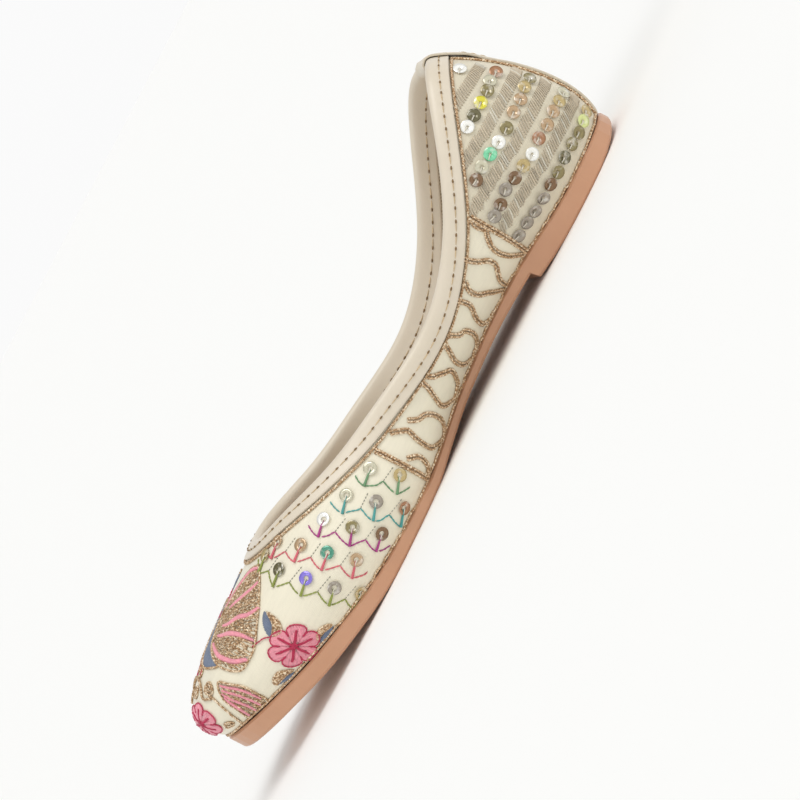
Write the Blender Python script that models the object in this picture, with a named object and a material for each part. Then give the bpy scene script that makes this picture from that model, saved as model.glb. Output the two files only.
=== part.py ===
"""A flat mojari slip-on shoe: moulded sole, padded insole, one-piece upper, collar binding and backstay.

The frame: +Z up, -Y towards the toe, +X towards the shoe's left side, origin on the floor under the middle.
The last is straight, so its left half is worked out and the right half mirrors it. Every form follows one
table, LAST: a row for each station round the shoe, from the toe to the back of the heel.
"""

import bmesh
import bpy
import numpy as np

# Driving sizes, in metres
SOLE_LENGTH = 0.2485
BALL_WIDTH = 0.0724
WAIST_WIDTH = 0.0360
HEEL_WIDTH = 0.0572
SOLE_THICKNESS = 0.005
SOLE_EDGE_ROUND = 0.0008
ARCH_HEIGHT = 0.0052
TOE_SPRING = 0.0143
HEEL_LENGTH = 0.0615
HEEL_BREAST_SLOPE = 0.0006
HEEL_BREAST_LIFT = 0.0012
HEEL_BACK_LIFT = 0.0028
FEATHER_MARGIN = 0.0012

BACK_HEIGHT = 0.0662
SIDE_HEIGHT = 0.0284
THROAT_HEIGHT = 0.0437
THROAT_SETBACK = 0.0625
COLLAR_SETBACK = 0.0118
COLLAR_WIDTH = 0.0746
WALL_LEAN = 0.010
WALL_THICKNESS = 0.002

BINDING_WIDTH = 0.0060
BINDING_INNER_WIDTH = 0.0075
BINDING_THICKNESS = 0.0009
BACKSTAY_WIDTH = 0.0195
BACKSTAY_INNER_LENGTH = 0.0095
BACKSTAY_THICKNESS = 0.0009
INSOLE_THICKNESS = 0.0035
INSOLE_CLEARANCE = 0.0005
INSOLE_ROUND = 0.0012
GAP = 0.0003

# Mesh fineness
STEPS_PER_STATION = 4
UPPER_ROWS = 11
ROW_CROWDING = 1.35
BINDING_ROWS = 2
BACKSTAY_COLUMNS = 6
CURVE_SAMPLES = 48
EDGE_TURNS = np.radians([45, 90, 135])
SHARP_ANGLE = np.radians(40)

# The back of the sole, while the pieces are worked out
HEEL_END = SOLE_LENGTH / 2

# One row for each station round the left half of the last, toe to heel.
# foot: where the wall meets the sole. lean and rise: the lower handle, out over the foot line and up.
# reach and brow: the upper handle, how far it lies from the collar towards the foot, and its height.
# foot_along is a share of SOLE_LENGTH from its back, and collar_along one of the opening from its back.
# The across columns are shares of half the width named in the row, or of COLLAR_WIDTH. lean is a share
# of WALL_LEAN. rise, brow and collar_up are shares of the height named in the row.
BALL, WAIST, HEEL = BALL_WIDTH / 2, WAIST_WIDTH / 2, HEEL_WIDTH / 2
LAST_COLUMNS = (
    "name", "foot_along", "foot_across", "foot_width", "lean", "rise", "reach", "brow",
    "collar_along", "collar_across", "collar_up", "height",
)
LAST = (
    ("toe tip", 0.995, 0.000, BALL, 1.60, 0.54, 0.38, 0.940, 1.000, 0.000, 1.000, THROAT_HEIGHT),
    ("toe corner", 0.972, 0.392, BALL, 1.35, 0.50, 0.38, 0.925, 0.989, 0.282, 0.992, THROAT_HEIGHT),
    ("toe side", 0.910, 0.703, BALL, 0.98, 0.40, 0.40, 0.875, 0.958, 0.509, 0.972, THROAT_HEIGHT),
    ("vamp side", 0.817, 0.897, BALL, 0.95, 0.33, 0.42, 0.810, 0.904, 0.684, 0.920, THROAT_HEIGHT),
    ("ball", 0.700, 1.000, BALL, 1.10, 0.24, 0.45, 0.680, 0.824, 0.804, 0.826, THROAT_HEIGHT),
    ("ball back", 0.600, 0.897, BALL, 1.20, 0.19, 0.35, 0.600, 0.739, 0.885, 0.751, THROAT_HEIGHT),
    ("arch front", 0.527, 1.389, WAIST, 1.40, 0.24, 0.50, 0.750, 0.660, 0.933, 1.080, SIDE_HEIGHT),
    ("arch", 0.451, 1.000, WAIST, 1.30, 0.17, 0.10, 0.690, 0.569, 0.944, 1.000, SIDE_HEIGHT),
    ("waist", 0.354, 1.067, WAIST, 1.20, 0.17, 0.10, 0.740, 0.450, 0.957, 1.000, SIDE_HEIGHT),
    ("heel breast", 0.241, 0.846, HEEL, 1.10, 0.23, 0.20, 0.940, 0.298, 1.000, 1.310, SIDE_HEIGHT),
    ("heel side", 0.133, 1.000, HEEL, 1.05, 0.15, 0.50, 0.570, 0.150, 0.933, 0.805, BACK_HEIGHT),
    ("heel corner", 0.036, 0.717, HEEL, 1.00, 0.20, 0.60, 0.730, 0.034, 0.611, 0.995, BACK_HEIGHT),
    ("heel back", 0.005, 0.000, HEEL, 0.90, 0.190, 0.62, 0.770, 0.000, 0.000, 1.000, BACK_HEIGHT),
)

# The sole from its back to its tip, without the heel: along is a share of SOLE_LENGTH, underside a share
# of the height named in the row, and thickness a share of SOLE_THICKNESS.
SOLE_COLUMNS = ("name", "along", "underside", "height", "thickness")
SOLE = (
    ("back", 0.000, 0.58, ARCH_HEIGHT, 0.85),
    ("heel seat", 0.120, 0.58, ARCH_HEIGHT, 0.85),
    ("heel front", 0.245, 0.88, ARCH_HEIGHT, 0.95),
    ("waist", 0.325, 1.00, ARCH_HEIGHT, 0.80),
    ("arch", 0.425, 0.74, ARCH_HEIGHT, 0.68),
    ("ball back", 0.510, 0.30, ARCH_HEIGHT, 0.70),
    ("flat back", 0.575, 0.00, ARCH_HEIGHT, 0.80),
    ("flat front", 0.690, 0.00, TOE_SPRING, 1.08),
    ("toe bend", 0.825, 0.26, TOE_SPRING, 1.34),
    ("toe rise", 0.930, 0.69, TOE_SPRING, 1.42),
    ("tip", 1.000, 1.00, TOE_SPRING, 1.50),
)
# The heel's flat, as shares of HEEL_LENGTH from its back
HEEL_FLAT_START = 0.343
HEEL_FLAT_END = 0.707


def sole_profile(y, column):
    """A column of the SOLE table at y, on a cubic that passes its rows without overshooting them."""
    table = {name: np.array(values) for name, values in zip(SOLE_COLUMNS, zip(*SOLE))}
    along = table["along"]
    values = table[column] * (table["height"] if column == "underside" else SOLE_THICKNESS)
    slopes = np.diff(values) / np.diff(along)
    tangents = np.zeros(len(values))
    same_way = slopes[1:] * slopes[:-1] > 0
    tangents[1:-1][same_way] = 2 / (1 / slopes[1:][same_way] + 1 / slopes[:-1][same_way])
    tangents[-1] = slopes[-1]
    share = (HEEL_END - np.asarray(y)) / SOLE_LENGTH
    row = np.clip(np.searchsorted(along, share, side="right") - 1, 0, len(along) - 2)
    width = along[row + 1] - along[row]
    t = (share - along[row]) / width
    return (
        (2 * t**3 - 3 * t**2 + 1) * values[row]
        + (t**3 - 2 * t**2 + t) * width * tangents[row]
        + (3 * t**2 - 2 * t**3) * values[row + 1]
        + (t**3 - t**2) * width * tangents[row + 1]
    )


def sole_top(y):
    return sole_profile(y, "underside") + sole_profile(y, "thickness")


def heel_underside(y):
    """The heel's bottom: flat on the floor, and lifted a little at its back edge and its breast."""
    along = (HEEL_END - y) / HEEL_LENGTH
    front = np.clip((along - HEEL_FLAT_END) / (1 - HEEL_FLAT_END), 0, 1)
    back = np.clip((HEEL_FLAT_START - along) / HEEL_FLAT_START, 0, 1)
    return HEEL_BREAST_LIFT * front**2 + HEEL_BACK_LIFT * back**2


def unit(vectors):
    return vectors / np.linalg.norm(vectors, axis=-1, keepdims=True)


def whole_ring(left_half):
    """The points of both halves: the left one from toe to heel, then its mirror image back to the toe."""
    right_half = left_half[-2:0:-1] * [-1, 1, 1]
    return np.concatenate([left_half, right_half])


def ring_spline(points, steps):
    """A closed cubic spline through the ring of points, with that many steps from each point to the next."""
    count = len(points)
    system = 4 * np.eye(count) + np.roll(np.eye(count), 1, 1) + np.roll(np.eye(count), -1, 1)
    following = np.roll(points, -1, 0)
    slopes = np.linalg.solve(system, 3 * (following - np.roll(points, 1, 0)))
    slopes_after = np.roll(slopes, -1, 0)
    stretches = []
    for t in np.arange(steps) / steps:
        stretches.append(
            (2 * t**3 - 3 * t**2 + 1) * points
            + (t**3 - 2 * t**2 + t) * slopes
            + (3 * t**2 - 2 * t**3) * following
            + (t**3 - t**2) * slopes_after
        )
    return np.stack(stretches, 1).reshape(count * steps, 3)


def level_outward(ring):
    """The level direction straight out from a ring that runs from the toe over the left side to the heel."""
    ahead = np.roll(ring, -1, 0) - np.roll(ring, 1, 0)
    return unit(np.stack([ahead[:, 1], -ahead[:, 0], 0 * ahead[:, 0]], 1))


def last_rings():
    """The foot line, lower handles, upper handles and collar of the last, each as a fine ring of points."""
    table = {name: np.array(values) for name, values in zip(LAST_COLUMNS, zip(*LAST))}
    opening = SOLE_LENGTH - THROAT_SETBACK - COLLAR_SETBACK
    foot_y = HEEL_END - table["foot_along"] * SOLE_LENGTH
    foot = np.stack([table["foot_across"] * table["foot_width"], foot_y, sole_top(foot_y) + GAP], 1)
    collar_y = HEEL_END - COLLAR_SETBACK - table["collar_along"] * opening
    collar_x = table["collar_across"] * COLLAR_WIDTH / 2
    collar = np.stack([collar_x, collar_y, table["collar_up"] * table["height"]], 1)
    outward = level_outward(whole_ring(foot))[: len(foot)]
    lean = outward * table["lean"][:, None] * WALL_LEAN
    reach = table["reach"][:, None]
    lower = foot + lean
    lower[:, 2] += table["rise"] * table["height"]
    upper = collar + (foot - collar) * reach + lean * reach
    upper[:, 2] = table["brow"] * table["height"]
    return [ring_spline(whole_ring(half), STEPS_PER_STATION) for half in (foot, lower, upper, collar)]


def at_distances(curve, distances):
    """Points on a fine curve at these distances along it."""
    run = np.concatenate([[0], np.cumsum(np.linalg.norm(np.diff(curve, axis=0), axis=1))])
    return np.stack([np.interp(distances, run, curve[:, axis]) for axis in range(3)], 1)


def last_face():
    """The upper's outer face, columns round the shoe x rows from collar to foot, and its outward normals."""
    foot, lower, upper, collar = (ring[:, None, :] for ring in last_rings())
    t = np.linspace(0, 1, CURVE_SAMPLES)[:, None]
    curves = collar * (1 - t) ** 3 + 3 * upper * t * (1 - t) ** 2 + 3 * lower * t**2 * (1 - t) + foot * t**3
    columns = []
    for curve in curves:
        length = np.linalg.norm(np.diff(curve, axis=0), axis=1).sum()
        banded = np.linspace(0, BINDING_WIDTH, BINDING_ROWS, endpoint=False)
        below = 1 - np.linspace(1, 0, UPPER_ROWS + 1) ** ROW_CROWDING
        columns.append(at_distances(curve, [*banded, *(BINDING_WIDTH + below * (length - BINDING_WIDTH))]))
    face = np.array(columns)
    round_shoe = np.roll(face, -1, 0) - np.roll(face, 1, 0)
    normals = unit(np.cross(np.gradient(face, axis=1), round_shoe))
    normals[:, -1] = level_outward(face[:, -1])
    return face, normals


def mesh_object(name, points, faces, material):
    mesh = bpy.data.meshes.new(name)
    mesh.from_pydata(points, [], faces)
    shape = bmesh.new()
    shape.from_mesh(mesh)
    bmesh.ops.recalc_face_normals(shape, faces=shape.faces)
    shape.to_mesh(mesh)
    shape.free()
    mesh.shade_smooth()
    mesh.set_sharp_from_angle(angle=SHARP_ANGLE)
    mesh.materials.append(material)
    made = bpy.data.objects.new(name, mesh)
    pieces.objects.link(made)
    return made


def wall_object(name, outer, inner, material, closed=True):
    """A wall between two matching sheets of points (columns x rows), each column's section a closed loop."""
    sections = np.concatenate([outer, inner[:, ::-1]], 1)
    columns, size = sections.shape[:2]
    faces = [
        (i * size + j, i * size + (j + 1) % size, after * size + (j + 1) % size, after * size + j)
        for i, after in zip(range(columns), [*range(1, columns), 0])
        for j in range(size)
        if closed or after
    ]
    if not closed:
        for end in (0, (columns - 1) * size):
            faces += [
                (end + j, end + j + 1, end + size - 2 - j, end + size - 1 - j) for j in range(size // 2 - 1)
            ]
    return mesh_object(name, sections.reshape(-1, 3), faces, material)


def make_upper(face, normals, material):
    """The lasted upper: one hollow wall, open at the collar and underneath."""
    return wall_object("upper", face, face - normals * WALL_THICKNESS, material)


def over_edge(face, normals, outside, inside, clearance):
    """A sheet that runs up the outside of the wall, over its top edge and down its inner face.

    outside holds its clearance from each row of the wall's outer face, from the collar down, and inside its
    distances down the inner face. clearance is the one kept over the edge and inside.
    """
    up = unit(face[:, 0] - face[:, 1])
    middle = face[:, 0] - normals[:, 0] * WALL_THICKNESS / 2
    radius = WALL_THICKNESS / 2 + clearance
    rows = [face[:, j] + normals[:, j] * outside[j] for j in reversed(range(len(outside)))]
    rows += [middle + (normals[:, 0] * np.cos(turn) + up * np.sin(turn)) * radius for turn in EDGE_TURNS]
    depth = WALL_THICKNESS + clearance
    within = [at_distances(column, inside) for column in face - normals * depth]
    return np.concatenate([np.stack(rows, 1), within], 1)


def make_binding(face, normals, material):
    """The folded leather strip that wraps the collar edge, outside and in."""
    inside = np.linspace(0, BINDING_INNER_WIDTH, BINDING_ROWS + 1)
    sheets = [
        over_edge(face, normals, [clearance] * (BINDING_ROWS + 1), inside, clearance)
        for clearance in (GAP + BINDING_THICKNESS, GAP)
    ]
    return wall_object("collar_binding", *sheets, material)


def back_strip(face, normals):
    """The face and normals of the wall across the back seam, in even columns of the backstay's width."""
    heel = (len(LAST) - 1) * STEPS_PER_STATION
    reach = 2 * STEPS_PER_STATION
    near = slice(heel - reach, heel + reach + 1)
    places = np.linspace(-BACKSTAY_WIDTH / 2, BACKSTAY_WIDTH / 2, BACKSTAY_COLUMNS + 1)
    strips = []
    for field in (face, normals):
        strip = np.empty((len(places), face.shape[1], 3))
        for j in range(face.shape[1]):
            across = face[near, j, 0][::-1]
            for axis in range(3):
                strip[:, j, axis] = np.interp(places, across, field[near, j, axis][::-1])
        strips.append(strip)
    return strips[0], unit(strips[1])


def make_backstay(face, normals, material):
    """The strip over the back seam: up from the sole, over the binding, and a little way down inside."""
    strip, strip_normals = back_strip(face, normals)
    over_binding = GAP + BINDING_THICKNESS + GAP
    inside = np.linspace(0, BACKSTAY_INNER_LENGTH, BINDING_ROWS + 1)
    on_binding = BINDING_ROWS + 2
    on_upper = strip.shape[1] - on_binding
    sheets = [
        over_edge(
            strip,
            strip_normals,
            [over_binding + thickness] * on_binding + [GAP + thickness] * on_upper,
            inside,
            over_binding + thickness,
        )
        for thickness in (BACKSTAY_THICKNESS, 0)
    ]
    return wall_object("backstay", *sheets, material, closed=False)


def slab(name, levels, material):
    """A solid from stacked rings. Its top and bottom are strips from each left point to its right one."""
    count = len(levels[0])
    faces = []
    for level in range(len(levels) - 1):
        base = level * count
        faces += [
            (base + i, base + (i + 1) % count, base + count + (i + 1) % count, base + count + i)
            for i in range(count)
        ]
    for base in (0, (len(levels) - 1) * count):
        for i in range(count // 2):
            strip = [base + i, base + i + 1, base + (count - i - 1) % count, base + (count - i) % count]
            faces.append(list(dict.fromkeys(strip)))
    return mesh_object(name, np.concatenate(levels), faces, material)


def over_sole(ring, above):
    """The ring moved to a height above the sole's top."""
    return np.column_stack([ring[:, :2], sole_top(ring[:, 1]) + above])


def foot_line(steps_at=()):
    """The ring where the wall meets the sole, with an extra pair of points where the sole steps."""
    ring = last_rings()[0]
    left = ring[: len(ring) // 2 + 1]
    for y in steps_at:
        after = np.searchsorted(left[:, 1], y)
        share = (y - left[after - 1, 1]) / (left[after, 1] - left[after - 1, 1])
        left = np.insert(left, after, left[after - 1] + (left[after] - left[after - 1]) * share, 0)
    return whole_ring(left)


def make_outsole(material):
    """The moulded sole: flat at the forefoot, sprung at the toe, and stepped down to a low heel."""
    breast = HEEL_END - HEEL_LENGTH
    foot = foot_line((breast - HEEL_BREAST_SLOPE, breast))
    outward = level_outward(foot)
    outline = foot + outward * FEATHER_MARGIN
    inset = outline - outward * SOLE_EDGE_ROUND
    on_heel = foot[:, 1] >= breast
    under, under_inset = (
        np.where(on_heel, heel_underside(ring[:, 1]), sole_profile(ring[:, 1], "underside"))
        for ring in (outline, inset)
    )
    levels = (
        over_sole(inset, 0),
        over_sole(outline, -SOLE_EDGE_ROUND),
        np.column_stack([outline[:, :2], under + SOLE_EDGE_ROUND]),
        np.column_stack([inset[:, :2], under_inset]),
    )
    return slab("outsole", levels, material)


def make_insole(material):
    """The padded sock that covers the floor of the shoe inside the upper's wall."""
    foot = foot_line()
    outward = level_outward(foot)
    outline = foot - outward * (WALL_THICKNESS + INSOLE_CLEARANCE)
    levels = (
        over_sole(outline - outward * INSOLE_ROUND, GAP + INSOLE_THICKNESS),
        over_sole(outline, GAP + INSOLE_THICKNESS - INSOLE_ROUND),
        over_sole(outline, GAP),
    )
    return slab("insole", levels, material)


def make_material(name, colour, roughness):
    made = bpy.data.materials.new(name)
    made.use_nodes = True
    shader = made.node_tree.nodes["Principled BSDF"]
    shader.inputs["Base Color"].default_value = (*colour, 1)
    shader.inputs["Roughness"].default_value = roughness
    shader.inputs["Metallic"].default_value = 0
    made.diffuse_color = (*colour, 1)
    return made


def stand_on_origin(made):
    """Moves the pieces together, so that the origin lies on the floor under the middle of the shoe."""
    ends = [corner[1] for piece in made for corner in piece.bound_box]
    for piece in made:
        piece.location.y = -(min(ends) + max(ends)) / 2


for old in list(bpy.data.objects):
    bpy.data.objects.remove(old)
pieces = bpy.data.collections.new("mojari shoe")
bpy.context.scene.collection.children.link(pieces)

rubber = make_material("tan rubber", (0.57, 0.38, 0.28), 0.5)
sock = make_material("padded sock", (0.80, 0.73, 0.66), 0.5)
silk = make_material("embroidered silk", (0.85, 0.84, 0.76), 0.6)
binding_leather = make_material("binding leather", (0.76, 0.71, 0.62), 0.45)
backstay_leather = make_material("backstay leather", (0.74, 0.69, 0.59), 0.5)

outer_face, outer_normals = last_face()
stand_on_origin([
    make_outsole(rubber),
    make_insole(sock),
    make_upper(outer_face, outer_normals, silk),
    make_binding(outer_face, outer_normals, binding_leather),
    make_backstay(outer_face, outer_normals, backstay_leather),
])
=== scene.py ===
"""A cream mojari slip-on shoe with embroidered silk sides, on a pale studio floor.

Places along the shoe are given as on a shoemaker's pattern: s is the distance from the back of the sole
towards the toe, and z the height over the floor, both in millimetres. The shoe's left side is +X.
"""

import math
import random

import bmesh
import bpy
import numpy as np
from mathutils import Matrix, Vector
from mathutils.bvhtree import BVHTree


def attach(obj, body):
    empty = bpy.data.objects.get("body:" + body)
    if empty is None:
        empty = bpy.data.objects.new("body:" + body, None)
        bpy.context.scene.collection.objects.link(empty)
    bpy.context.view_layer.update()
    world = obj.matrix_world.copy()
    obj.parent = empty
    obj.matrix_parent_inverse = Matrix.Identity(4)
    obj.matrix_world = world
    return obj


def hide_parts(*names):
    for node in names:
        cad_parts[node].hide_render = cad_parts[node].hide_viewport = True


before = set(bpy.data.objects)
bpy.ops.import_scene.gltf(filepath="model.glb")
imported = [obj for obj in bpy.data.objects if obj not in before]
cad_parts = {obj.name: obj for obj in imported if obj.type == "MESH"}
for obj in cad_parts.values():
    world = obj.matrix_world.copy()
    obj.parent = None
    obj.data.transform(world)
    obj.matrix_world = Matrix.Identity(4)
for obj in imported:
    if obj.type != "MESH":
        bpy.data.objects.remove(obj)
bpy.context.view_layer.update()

# Studio
# A pale seamless floor, a large soft light over the shoe and a weaker one from the toe. The camera looks
# almost level at the shoe's left side through a long lens, and is rolled as in the photograph.

AZIMUTH, ELEVATION, ROLL = math.radians(87), math.radians(5.8), math.radians(-62.5)
CAMERA_DISTANCE = 1.3
SENSOR_MM, LENS_MM = 36, 171.1
FRAMING_RIGHT, FRAMING_UP = 0.00875, -0.0002


def linear(hex_colour):
    """The linear RGBA of an sRGB colour such as "e6dcc8"."""
    shares = [int(hex_colour[i : i + 2], 16) / 255 for i in (0, 2, 4)]
    return (*(c / 12.92 if c <= 0.04045 else ((c + 0.055) / 1.055) ** 2.4 for c in shares), 1)


def new_material(name, colour, roughness, **sockets):
    """A Principled material with the sockets that are the same all over it."""
    material = bpy.data.materials.new(name)
    material.use_nodes = True
    shader = material.node_tree.nodes["Principled BSDF"]
    shader.inputs["Base Color"].default_value = linear(colour)
    shader.inputs["Roughness"].default_value = roughness
    for socket, value in sockets.items():
        shader.inputs[socket.replace("_", " ")].default_value = value
    material.diffuse_color = linear(colour)
    return material


def add_node(material, kind, settings=(), links=()):
    """Adds a node. Settings pair a property or input with its value, and links an input with its source."""
    node = material.node_tree.nodes.new(kind)
    for name, value in settings:
        if isinstance(name, str) and name in node.bl_rna.properties:
            setattr(node, name, value)
        else:
            node.inputs[name].default_value = value
    for name, source in links:
        material.node_tree.links.new(source, node.inputs[name])
    return node


def noise(material, scale, place=None, detail=2):
    """How light a cloudy noise is, with about that many clouds to a metre."""
    links = [] if place is None else [("Vector", place)]
    return add_node(material, "ShaderNodeTexNoise", [("Scale", scale), ("Detail", detail)], links).outputs[0]


def bumped(material, height, strength, distance):
    """The normal of a surface with bumps of that distance in metres."""
    settings = [("Strength", strength), ("Distance", distance)]
    return add_node(material, "ShaderNodeBump", settings, [("Height", height)]).outputs["Normal"]


def finish_surface(material, **sources):
    """Links node outputs to the named sockets of the material's shader."""
    shader = material.node_tree.nodes["Principled BSDF"]
    for socket, source in sources.items():
        material.node_tree.links.new(source, shader.inputs[socket.replace("_", " ")])


back = Vector((
    math.sin(AZIMUTH) * math.cos(ELEVATION),
    -math.cos(AZIMUTH) * math.cos(ELEVATION),
    math.sin(ELEVATION),
))
level = Vector((math.cos(AZIMUTH), math.sin(AZIMUTH), 0))
upright = back.cross(level)
right = level * math.cos(ROLL) + upright * math.sin(ROLL)
up = upright * math.cos(ROLL) - level * math.sin(ROLL)
aim = Vector((0, 0, 0.03)) + right * FRAMING_RIGHT + up * FRAMING_UP
bpy.ops.object.camera_add(location=aim + back * CAMERA_DISTANCE)
camera = bpy.context.object
camera.name = "studio_camera"
camera.rotation_mode = "QUATERNION"
camera.rotation_quaternion = Matrix((right, up, back)).transposed().to_quaternion()
camera.data.sensor_width = SENSOR_MM
camera.data.lens = LENS_MM
camera.data.clip_start = 0.05
bpy.context.scene.camera = camera

bpy.ops.mesh.primitive_circle_add(vertices=96, radius=40, fill_type="NGON")
floor = bpy.context.object
floor.name = "studio_floor"
paper = new_material("matt white paper", "fafaf8", 0.9)
finish_surface(paper, Normal=bumped(paper, noise(paper, 900), 0.03, 0.0002))
floor.data.materials.append(paper)

STUDIO_LIGHTS = (("key", (0.45, 0.45, 1.1), 0.7, 1.42), ("toe_side", (0.5, -1.0, 0.8), 0.6, 0.35))
for name, place, spread, strength in STUDIO_LIGHTS:
    bpy.ops.object.light_add(type="SUN", location=place)
    lamp = bpy.context.object
    lamp.name = name + "_light"
    lamp.data.angle = spread
    lamp.data.energy = strength
    lamp.rotation_mode = "QUATERNION"
    lamp.rotation_quaternion = Vector(place).to_track_quat("Z", "Y")

# White walls all round and a dimmer ceiling.
WALL, CEILING = 0.96, 0.42
WALL_TOP, CEILING_EDGE = 0.2, 0.8
world = bpy.context.scene.world or bpy.data.worlds.new("studio_world")
bpy.context.scene.world = world
world.use_nodes = True
ways = add_node(world, "ShaderNodeTexCoord")
heights = add_node(world, "ShaderNodeSeparateXYZ", (), [(0, ways.outputs["Generated"])])
spans = [("From Min", WALL_TOP), ("From Max", CEILING_EDGE), ("To Min", WALL), ("To Max", CEILING)]
shades = add_node(world, "ShaderNodeMapRange", spans, [("Value", heights.outputs["Z"])])
background = world.node_tree.nodes["Background"]
background.inputs["Color"].default_value = linear("ffffff")
world.node_tree.links.new(shades.outputs[0], background.inputs["Strength"])
bpy.context.scene.view_settings.view_transform = "Standard"

# Sole
# One moulded unit of tan thermoplastic rubber, cemented to the bottom of the lasted upper. It has the fine
# grain of its mould all over.


def object_place(material, scale=(1, 1, 1), turn=(0, 0, 0)):
    """Object coordinates, scaled and turned for a pattern. They are the row frame's metres."""
    place = [("Vector", add_node(material, "ShaderNodeTexCoord").outputs["Object"])]
    settings = [("Scale", scale), ("Rotation", turn)]
    return add_node(material, "ShaderNodeMapping", settings, place).outputs["Vector"]


def tinted(material, share, start, end):
    """A colour that goes from one sRGB colour to another as the share goes from 0 to 1."""
    colours = [("data_type", "RGBA"), (6, linear(start)), (7, linear(end))]
    return add_node(material, "ShaderNodeMix", colours, [(0, share)]).outputs[2]


def give_material(piece, *materials):
    """The piece's only materials, in the order of its faces' material numbers."""
    piece.data.materials.clear()
    for material in materials:
        piece.data.materials.append(material)


rubber = new_material("moulded tan rubber", "c4916f", 0.38, Coat_Weight=0.15, Coat_Roughness=0.25)
rubber_place = object_place(rubber)
rubber_tint = tinted(rubber, noise(rubber, 40, rubber_place), "bd8a68", "ca9a7a")
rubber_normal = bumped(rubber, noise(rubber, 1400, rubber_place), 0.25, 0.00008)
finish_surface(rubber, Base_Color=rubber_tint, Normal=rubber_normal)
give_material(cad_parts["outsole"], rubber)

# Upper
# Ivory silk stretched over a stiff backing and lasted to the sole, with a woven cotton lining inside. It is
# one wall about 2 mm thick. Its heel part is beige and its sides and vamp are ivory.

SOLE_BACK = 0.1231
SHARP = math.radians(55)


def along(s):
    """The y of a place s millimetres from the back of the sole."""
    return SOLE_BACK - s / 1000


def select_only(piece):
    bpy.ops.object.select_all(action="DESELECT")
    piece.select_set(True)
    bpy.context.view_layer.objects.active = piece


def smooth_copy(node, name, rim_crease=1.0):
    """A copy of a CAD node, its triangles joined to quads and subdivided, that rides where the node does."""
    piece = bpy.data.objects.new(name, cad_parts[node].data.copy())
    bpy.context.scene.collection.objects.link(piece)
    if "custom_normal" in piece.data.attributes:
        piece.data.attributes.remove(piece.data.attributes["custom_normal"])
    select_only(piece)
    bpy.ops.object.mode_set(mode="EDIT")
    bpy.ops.mesh.select_all(action="SELECT")
    bpy.ops.mesh.remove_doubles(threshold=1e-5)
    bpy.ops.mesh.tris_convert_to_quads(face_threshold=math.pi, shape_threshold=math.pi)
    bpy.ops.mesh.select_all(action="DESELECT")
    bpy.ops.mesh.edges_select_sharp(sharpness=SHARP)
    bpy.ops.transform.edge_crease(value=rim_crease)
    bpy.ops.object.mode_set(mode="OBJECT")
    smoother = piece.modifiers.new("smooth", "SUBSURF")
    smoother.levels = smoother.render_levels = 2
    bpy.ops.object.modifier_apply(modifier="smooth")
    bpy.ops.object.shade_smooth()
    give_material(piece)
    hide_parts(node)
    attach(piece, "root")
    return piece


upper = smooth_copy("upper", "upper_cloth")

HEEL_FIELD = 56.3
SILK_THREAD_MM, SLUB_MM, TWILL_MM = 0.5, 9, 1.1


def woven(material, thread_mm, depth, turn=0):
    """The height and the normal of threads that cross, drawn coarser than real so that they show."""
    threads = []
    scale = math.tau * 50 / thread_mm
    for direction in ("X", "Y", "Z"):
        place = object_place(material, turn=(math.radians(turn), 0, math.radians(turn)))
        settings = [("bands_direction", direction), ("Scale", scale), ("Distortion", 0.6), ("Detail", 1)]
        wave = add_node(material, "ShaderNodeTexWave", settings, [("Vector", place)])
        threads.append(wave.outputs["Fac"])
    crossed = [(0, threads[0]), (1, threads[1])]
    first = add_node(material, "ShaderNodeMath", [("operation", "MULTIPLY")], crossed)
    both = [(0, first.outputs[0]), (1, threads[2])]
    weave = add_node(material, "ShaderNodeMath", [("operation", "ADD")], both).outputs[0]
    return weave, bumped(material, weave, 0.5, depth)


def shaded(material, colour, strength):
    """A colour times a strength that changes from place to place."""
    scaled = [(0, colour), ("Scale", strength)]
    return add_node(material, "ShaderNodeVectorMath", [("operation", "SCALE")], scaled).outputs[0]


def leather_grain(material):
    """The normal of finished leather, with its fine closed grain."""
    place = [("Vector", object_place(material))]
    grain = add_node(material, "ShaderNodeTexVoronoi", [("Scale", 1100)], place)
    return bumped(material, grain.outputs["Distance"], 0.35, 0.00006)


# Slub silk has long thick threads that run round the shoe. They are painted into the colour as faint lighter
# and darker streaks: painted sheen on the slubs, over their own uneven tone.
silk = new_material("slub silk", "e7e2d2", 0.42, Sheen_Weight=0.25, Sheen_Roughness=0.4)
heel_part = add_node(silk, "ShaderNodeSeparateXYZ", (), [(0, object_place(silk))]).outputs["Y"]
heel_edge = [("operation", "GREATER_THAN"), (1, along(HEEL_FIELD))]
heel_share = add_node(silk, "ShaderNodeMath", heel_edge, [(0, heel_part)]).outputs[0]
slub = noise(silk, 1000 / SLUB_MM, object_place(silk, scale=(1, 1, 9)), 4)
slub_painted_sheen = add_node(silk, "ShaderNodeMapRange", [("To Min", 0.93), ("To Max", 1.05)], [("Value", slub)])
slubbed = shaded(silk, tinted(silk, heel_share, "e9e2cc", "d9d0b9"), slub_painted_sheen.outputs[0])
finish_surface(silk, Base_Color=slubbed, Normal=woven(silk, SILK_THREAD_MM, 0.00006)[1])

# Twill shows its slanted ribs. Its colour holds painted shade: darker on the whole than the lining's own
# colour, for the shade inside the shoe, and darker again between the ribs.
lining = new_material("cotton twill lining", "cfc4a8", 0.85, Sheen_Weight=0.2)
twill, twill_normal = woven(lining, TWILL_MM, 0.00015, turn=35)
finish_surface(lining, Base_Color=tinted(lining, twill, "ae9f82", "dcd0b8"), Normal=twill_normal)
# The heel counter and the toe are lined with smooth leather instead.
COUNTER_END, TOE_LINING_START = 22, 146
counter_leather = new_material("smooth counter leather", "e4d9cc", 0.5)
finish_surface(counter_leather, Normal=leather_grain(counter_leather))
give_material(upper, silk, lining, counter_leather)
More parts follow.
